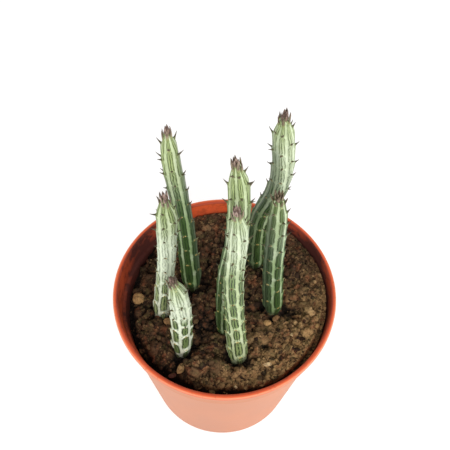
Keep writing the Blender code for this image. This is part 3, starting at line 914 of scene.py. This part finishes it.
soil = {
    "level": 67.3 * mm,
    "slopeRight": 0.07,
    "slopeBack": 0.04,
    "moatDepth": 3.4 * mm,
    "moatWidth": 9 * mm,
    "wallRise": 1.8 * mm,
    "lumpHeight": 2.6 * mm,
    "lumpSize": 6.0 * mm,
    "lumpOctaves": 3,
    "clodSize": 5.4 * mm,
    "clodHeight": 3.2 * mm,
    "clodSeed": 1795809800,
    "finerSpan": 60 * mm,
    "finerShare": 0.55,
    "shrunkWidth": 4.8 * mm,
    "shrunkDepth": 4.2 * mm,
    "shrunkTurn": 0.1,  # radians, as is the next one
    "closedTurn": 0.35,
    "shoulder": 53 * mm,
    "hollowRadius": 4 * mm,
    "hollowDepth": 2.3 * mm,
    "hollowWidth": 3.2 * mm,
    "crumbSize": 2.1 * mm,
    "crumbHeight": 1.1 * mm,
    "dustSize": 0.9 * mm,
    "dustHeight": 0.35 * mm,
    # painted shade among the stems: how deep it counts, where it centres and how wide
    "shadeDepth": 1.1 * mm,
    "shadeX": 3 * mm,
    "shadeRadius": 20 * mm,
    "patchSize": 9 * mm,
    "sandyFrom": 8.3 * mm,
    "sandyTo": 62.5 * mm,
    "deepFrom": 0.6 * mm,
    "deepTo": 3.0 * mm,
    "gap": 0.25 * mm,
    "cells": 240,
}
clodsAndPits = [
    # across, back, half width and height in millimetres
    (-27.4, -10.4, 3.4, 1.6), (-27.5, -18.8, 3.4, 1.8), (-22.0, -8.5, 2.0, 1.2), (-8.3, -24.1, 4.4, 2.2),
    (-4.8, -15.0, 3.6, 1.8), (13.0, -14.5, 1.8, 1.4), (13.0, -19.0, 1.8, 1.4), (29.7, 19.6, 4.0, 2.0),
    (32.8, 13.9, 3.0, 1.4), (28.0, 4.8, 4.0, 1.8), (-8.0, 33.0, 3.6, 0.8), (-2.5, 31.5, 3.0, 1.0),
    (22.0, -11.0, 4.5, 1.2), (30.0, -9.0, 4.5, 1.2), (5.5, -31.5, 3.5, 0.8),
    (-7.1, -8.8, 5.0, -2.4), (-13.4, 0.3, 4.6, -2.2), (-23.2, -14.6, 2.6, -2.2), (24.4, -3.2, 3.0, -2.6),
    (16.6, -18.0, 1.6, -1.8), (11.6, -24.0, 2.0, -1.8), (4.9, -27.5, 1.6, -2.2), (-15.8, -30.5, 3.2, -2.0),
    (14.8, 2.5, 4.0, -2.0), (-10.0, -17.0, 2.0, -2.0), (-3.0, 22.0, 5.0, -1.4), (32.0, 24.0, 5.0, -1.6),
]
stemFeet = [(stem["path"][0][0] * mm, stem["y"] * mm) for stem in stems.values()]
# the plug's seed: without one, noise_vector's offsets follow the clock
noise.seed_set(soil["clodSeed"])


def clamp(value):
    return min(1.0, max(0.0, value))


def stemDistance(x, y):
    # from the middle of the nearest stem's foot
    return min(math.hypot(x - footX, y - footY) for footX, footY in stemFeet)


def fractal(x, y, size, octaves):
    return noise.fractal(Vector((x, y, 0)) / size, 1.0, 2.0, octaves)


def cobble(x, y, size):
    # rounded humps parted by cracks, from about -0.6 to 0.6
    place = Vector((x, y, size)) / size
    place += 0.35 * noise.noise_vector(place * 1.7)
    near, points = noise.voronoi(place)
    return clamp((near[1] - near[0]) / 0.45) ** 0.6 - 0.6 + 0.5 * noise.noise(points[0] * 3.1)


def finer(x, y):
    # 0 at the left and back, where the clods are large, to 1 at the right and front
    return clamp(0.5 + (x - y) / soil["finerSpan"])


def smoothGround(x, y):
    # the bare slope
    return soil["level"] + soil["slopeRight"] * x + soil["slopeBack"] * y


def lumpHeight(x, y):
    # broad lumps, a bed of clods and the photo's own clods and pits
    lumps = soil["lumpHeight"] * fractal(x, y, soil["lumpSize"], soil["lumpOctaves"])
    lumps += soil["clodHeight"] * (1 - soil["finerShare"] * finer(x, y)) * cobble(x, y, soil["clodSize"])
    for spotX, spotY, half, rise in clodsAndPits:
        apart = math.hypot(x / mm - spotX, y / mm - spotY) / half
        if apart < 2:
            lumps += rise * mm * math.exp(-(apart**2))
    return lumps


def groundHeight(x, y):
    # slope and lumps, a moat along the left wall, the gap where the mix has shrunk from the front
    # wall, closed at the right, and a hollow round each stem
    wall = pot["bodyTop"] - pot["wall"]
    fromWall = wall - math.hypot(x, y)
    nearWall = clamp(1 - fromWall / soil["moatWidth"]) ** 2
    bearing = math.atan2(y, x)
    behind = clamp(2 * y / wall - 1)
    front = clamp(0.5 - 0.62 * math.sin(bearing + soil["shrunkTurn"]))
    closed = clamp((math.cos(bearing + soil["closedTurn"]) - 0.45) / 0.4)
    width = soil["shrunkWidth"] * (0.35 + 0.65 * front) * (1 - 0.7 * closed)
    drawn = clamp((width - fromWall) / (0.45 * width)) ** 2
    height = smoothGround(x, y) + lumpHeight(x, y) * (1 - nearWall)
    height -= soil["moatDepth"] * nearWall * (0.5 - 0.5 * x / wall) * (1 - 0.6 * behind)
    height += soil["wallRise"] * nearWall * max(behind, closed)
    height -= soil["shrunkDepth"] * front * drawn
    fromHollow = stemDistance(x, y) - soil["hollowRadius"]
    return height - soil["hollowDepth"] * clamp(1 - fromHollow / soil["hollowWidth"])


def crumbRelief(x, y):
    height = soil["crumbHeight"] * (0.6 + 0.4 * finer(x, y)) * cobble(x, y, soil["crumbSize"])
    return height + soil["dustHeight"] * fractal(x, y, soil["dustSize"], 2)


def shadeAmongStems(x, y):
    # painted shade: the mix is painted darker in the middle and at the left, in patches, where the stems
    # shade it
    patch = 0.5 + 1.3 * noise.noise(Vector((x, y, 0)) / soil["patchSize"])
    return clamp(patch) * math.exp(-((x - soil["shadeX"]) ** 2 + y * y) / soil["shadeRadius"] ** 2)


def wallInside(height):
    # how far out the plug reaches in the pot, under and over the step
    over = pot["collarFoot"] - pot["wall"]
    under = pot["bodyTop"] - pot["wall"]
    if height < pot["stepHeight"]:
        return bodyInside(height) - soil["gap"]
    return under + (over - under) * clamp((height - pot["stepHeight"]) / pot["stepSlope"]) - soil["gap"]


def sandiness(finish, place):
    # the mix is sandier towards the right and the front
    forward = finish.part(place, "X") - finish.part(place, "Y")
    return forward.between(soil["sandyFrom"], soil["sandyTo"])


def earthTones(finish, place, colour):
    # reddish and olive patches a few millimetres wide
    hue = finish.grain(place, 300, 3, 0.6)
    colour = finish.blend(hue.between(0.54, 0.66) * 0.45, colour, seen(140, 84, 56))
    return finish.blend(hue.between(0.46, 0.34) * 0.40, colour, seen(98, 90, 54))


def makeSoilMix():
    finish = Finish("soilMix")
    place = finish.place()
    cloud = finish.grain(place, 90, 3)
    clump = finish.grain(place, 420, 4, 0.62)
    fine = finish.grain(place, 1900, 4, 0.7)
    flecks = finish.cells(place, 1400)
    sandy = sandiness(finish, place)
    deep = finish.value("deep")
    dry = finish.blend(sandy, seen(74, 52, 34), seen(184, 144, 96))
    colour = finish.blend(clump.between(0.30, 0.62), seen(36, 24, 16), dry)
    colour = finish.blend(fine.between(0.46, 0.70) * (0.22 + sandy * 0.5), colour, seen(158, 130, 86))
    colour = finish.blend(flecks.between(0.80, 0.92) * (0.35 + sandy * 0.35), colour, seen(176, 140, 96))
    colour = finish.blend(flecks.between(0.22, 0.08) * 0.7, colour, seen(30, 20, 14))
    colour = finish.blend(cloud.between(0.52, 0.72) * 0.35, colour, seen(90, 56, 42))
    colour = earthTones(finish, place, colour)
    # painted shade: near-black in hollows, in the gap by the wall and among the stems
    colour = finish.blend(deep * 0.95, colour, seen(16, 11, 8))
    rough = finish.relief(fine + clump * 0.8, 0.9, 0.35 * mm)
    finish.set(Base_Color=colour, Roughness=0.92, Normal=rough, Specular_IOR_Level=0.2)
    return finish.material


def makeSoilTop(material):
    deselectAll()
    bpy.ops.mesh.primitive_grid_add(x_subdivisions=soil["cells"], y_subdivisions=soil["cells"], size=2)
    piece = bpy.context.object
    piece.name = "pottingSoil"
    flat = pointsOf(piece)
    # the square grid becomes a disc, and its last rows stay apart where the wall pushes them inwards
    outer = pot["collarFoot"] - pot["wall"] - soil["gap"]
    across = outer * flat[:, 0] * np.sqrt(1 - flat[:, 1] ** 2 / 2)
    back = outer * flat[:, 1] * np.sqrt(1 - flat[:, 0] ** 2 / 2)
    limits = 0.9 + 0.1 * np.abs(flat[:, :2]).max(axis=1)
    points = []
    depths = []
    for x, y, limit in zip(across, back, limits):
        height = groundHeight(x, y) + crumbRelief(x, y)
        # how deep a point lies below the bare slope, plus the painted shade among the stems
        depths.append(smoothGround(x, y) - height + soil["shadeDepth"] * shadeAmongStems(x, y))
        inwards = min(1, limit * wallInside(height) / max(math.hypot(x, y), mm))
        points.append((x * inwards, y * inwards, height))
    movePoints(piece, points)
    giveValues(piece, "deep", smooth(np.array(depths), soil["deepFrom"], soil["deepTo"]))

    # the plug's side: the sheet's rim drawn down to the shoulder and to the pot's floor
    pick(piece)
    bpy.ops.object.mode_set(mode="EDIT")
    bpy.ops.mesh.select_all(action="DESELECT")
    bpy.ops.mesh.select_non_manifold()
    for height in (soil["shoulder"], pot["floorRise"] + pot["wall"] + soil["gap"]):
        bpy.ops.object.mode_set(mode="EDIT")
        bpy.ops.mesh.extrude_region_move()
        bpy.ops.object.mode_set(mode="OBJECT")
        radius = bodyInside(height) - soil["gap"]
        for vertex in piece.data.vertices:
            if vertex.select:
                vertex.co = (*(vertex.co.xy.normalized() * radius), height)
    bpy.ops.object.mode_set(mode="EDIT")
    bpy.ops.mesh.edge_face_add()
    bpy.ops.object.mode_set(mode="OBJECT")
    weld(piece)
    smoothAndDress(piece, material)
    settle(piece, "soil_mix", "soil")


loose = {
    # where loose pieces lie, how far they stay from the pot's middle and from a stem's, and their kinds
    "field": 37.4 * mm,
    "limit": 37.8 * mm,
    "stemRoom": 4.3 * mm,
    "kinds": {
        "soilCrumbs": {
            "count": 2200, "smallest": 0.5 * mm, "largest": 3.2 * mm, "divisions": 1, "squash": 0.75,
        },
        "soilClods": {
            "count": 90, "smallest": 2.0 * mm, "largest": 5.0 * mm, "divisions": 3, "squash": 0.7,
        },
    },
}


def makeCrumbMix():
    finish = Finish("crumbMix")
    place = finish.place()
    tone = finish.value("tone")
    fine = finish.grain(place, 1300, 4, 0.7)
    sandy = sandiness(finish, place)
    dry = finish.blend(sandy, seen(88, 63, 43), seen(190, 152, 102))
    colour = finish.blend(tone.between(0.1, 0.8), seen(46, 31, 21), dry)
    colour = earthTones(finish, place, colour)
    colour = finish.blend(tone.between(0.86, 1.0) * (0.2 + sandy * 0.8), colour, seen(190, 156, 108))
    colour = finish.blend(fine.between(0.45, 0.66) * 0.6, colour, seen(38, 25, 17))
    # painted shade of the crumbs among the stems
    colour = finish.blend(finish.value("crumbShade") * 0.75, colour, seen(24, 16, 11))
    rough = finish.relief(fine, 0.9, 0.3 * mm)
    finish.set(Base_Color=colour, Roughness=0.92, Normal=rough, Specular_IOR_Level=0.2)
    return finish.material


def makeBall(divisions, relief, grains, fading, octaves):
    # a bumpy ball one unit across
    deselectAll()
    bpy.ops.mesh.primitive_ico_sphere_add(subdivisions=divisions, radius=0.5)
    shape = bpy.context.object
    places = [Vector(point) for point in pointsOf(shape)]
    heights = [relief * noise.fractal(place * grains, fading, 2.0, octaves) for place in places]
    movePoints(shape, [place * (1 + height) for place, height in zip(places, heights)])
    return shape


def makeCrumbs(name, kind, dice, material):
    placements = []
    while len(placements) < kind["count"]:
        radius = loose["field"] * math.sqrt(dice.uniform(0, 1))
        bearing = dice.uniform(0, math.tau)
        x, y = radius * math.cos(bearing), radius * math.sin(bearing)
        size = kind["smallest"] * (kind["largest"] / kind["smallest"]) ** (dice.uniform(0, 1) ** 2)
        if stemDistance(x, y) < loose["stemRoom"] + size / 2 or radius + size / 2 > loose["limit"]:
            continue
        turn = Matrix.Rotation(dice.uniform(0, math.tau), 4, Vector(dice.normal(size=3)).normalized())
        length, breadth = size * dice.uniform(0.7, 1.3), size * dice.uniform(0.7, 1.1)
        stretch = Matrix.Diagonal((length, breadth, size * kind["squash"], 1))
        height = groundHeight(x, y) + crumbRelief(x, y) + size * dice.uniform(-0.25, 0.15)
        placements.append(Matrix.Translation((x, y, height)) @ turn @ stretch)
    # painted shade among the stems for each crumb
    crumbShade = [shadeAmongStems(*placement.translation[:2]) for placement in placements]
    tones = dice.uniform(0, 1, kind["count"])
    shape = makeBall(kind["divisions"], 0.50, 3.3, 0.8, 3)
    piece = scatterCopies(name, shape, placements, {"tone": tones, "crumbShade": crumbShade})
    bpy.data.objects.remove(shape)
    smoothAndDress(piece, material)
    settle(piece, "soil_mix")


gritBuried = 0.22  # how much of its depth each lies in the ground
grit = {
    # across, back, length, breadth and depth in millimetres, turn about the upright in degrees,
    # and tone from dark red to cream
    "pebble": (-33.6, 1.0, 5.0, 4.4, 3.4, 80, 0.60),
    "barkChip": (-15.3, -27.2, 4.8, 2.6, 1.6, 65, 0.66),
    "redChip": (-18.5, -29.3, 3.2, 1.8, 1.0, 20, 0.10),
    "tanGrain": (16.7, -9.0, 3.0, 2.3, 1.8, 0, 0.60),
    "brownGrain": (20.2, -6.3, 3.2, 2.5, 2.0, 40, 0.38),
    "flatGrain": (16.9, -25.8, 3.2, 1.5, 1.0, 10, 0.85),
    "paleGrain": (5.5, -34.2, 1.3, 1.1, 0.9, 0, 1.00),
    "smallGrainLeft": (26.3, -13.6, 2.0, 1.5, 1.2, 30, 0.80),
    "smallGrainRight": (35.6, -10.4, 2.2, 1.7, 1.4, 70, 0.62),
    "smallGrainFront": (25.9, -19.4, 1.8, 1.4, 1.2, 0, 0.74),
    "dustyClod": (-21.5, -8.3, 3.4, 2.8, 2.2, 0, 0.42),
}


def makeGritStone():
    finish = Finish("gritStone")
    place = finish.place()
    tone = finish.value("tone")
    fine = finish.grain(place, 900, 4, 0.65)
    colour = finish.blend(tone.between(0.1, 0.6), seen(92, 50, 42), seen(164, 128, 82))
    colour = finish.blend(tone.between(0.6, 1.0), colour, seen(222, 196, 150))
    colour = finish.blend(fine.between(0.44, 0.66) * 0.7, colour, seen(92, 64, 42))
    rough = finish.relief(fine, 0.6, 0.25 * mm)
    finish.set(Base_Color=colour, Roughness=0.8, Normal=rough, Specular_IOR_Level=0.3)
    return finish.material


def makeGrit(material):
    placements = []
    tones = []
    for across, back, length, breadth, depth, turn, tone in grit.values():
        x, y = across * mm, back * mm
        middle = groundHeight(x, y) + (0.5 - gritBuried) * depth * mm
        spin = Matrix.Rotation(math.radians(turn), 4, "Z")
        stretch = Matrix.Diagonal((length * mm, breadth * mm, depth * mm, 1))
        placements.append(Matrix.Translation((x, y, middle)) @ spin @ stretch)
        tones.append(tone)
    shape = makeBall(4, 0.24, 1.9, 0.9, 4)
    piece = scatterCopies("soilGrit", shape, placements, {"tone": tones})
    bpy.data.objects.remove(shape)
    smoothAndDress(piece, material)
    settle(piece, "soil_mix")


makeCamera()
makeStudio()
print("camera and studio ready")
makePot()
print("pot ready")
makeStems()
print("stems ready")
makeSoilTop(makeSoilMix())
print("soil ready")
crumbMix = makeCrumbMix()
crumbDice = np.random.default_rng(5)
for name, kind in loose["kinds"].items():
    makeCrumbs(name, kind, crumbDice, crumbMix)
makeGrit(makeGritStone())
print("crumbs ready")
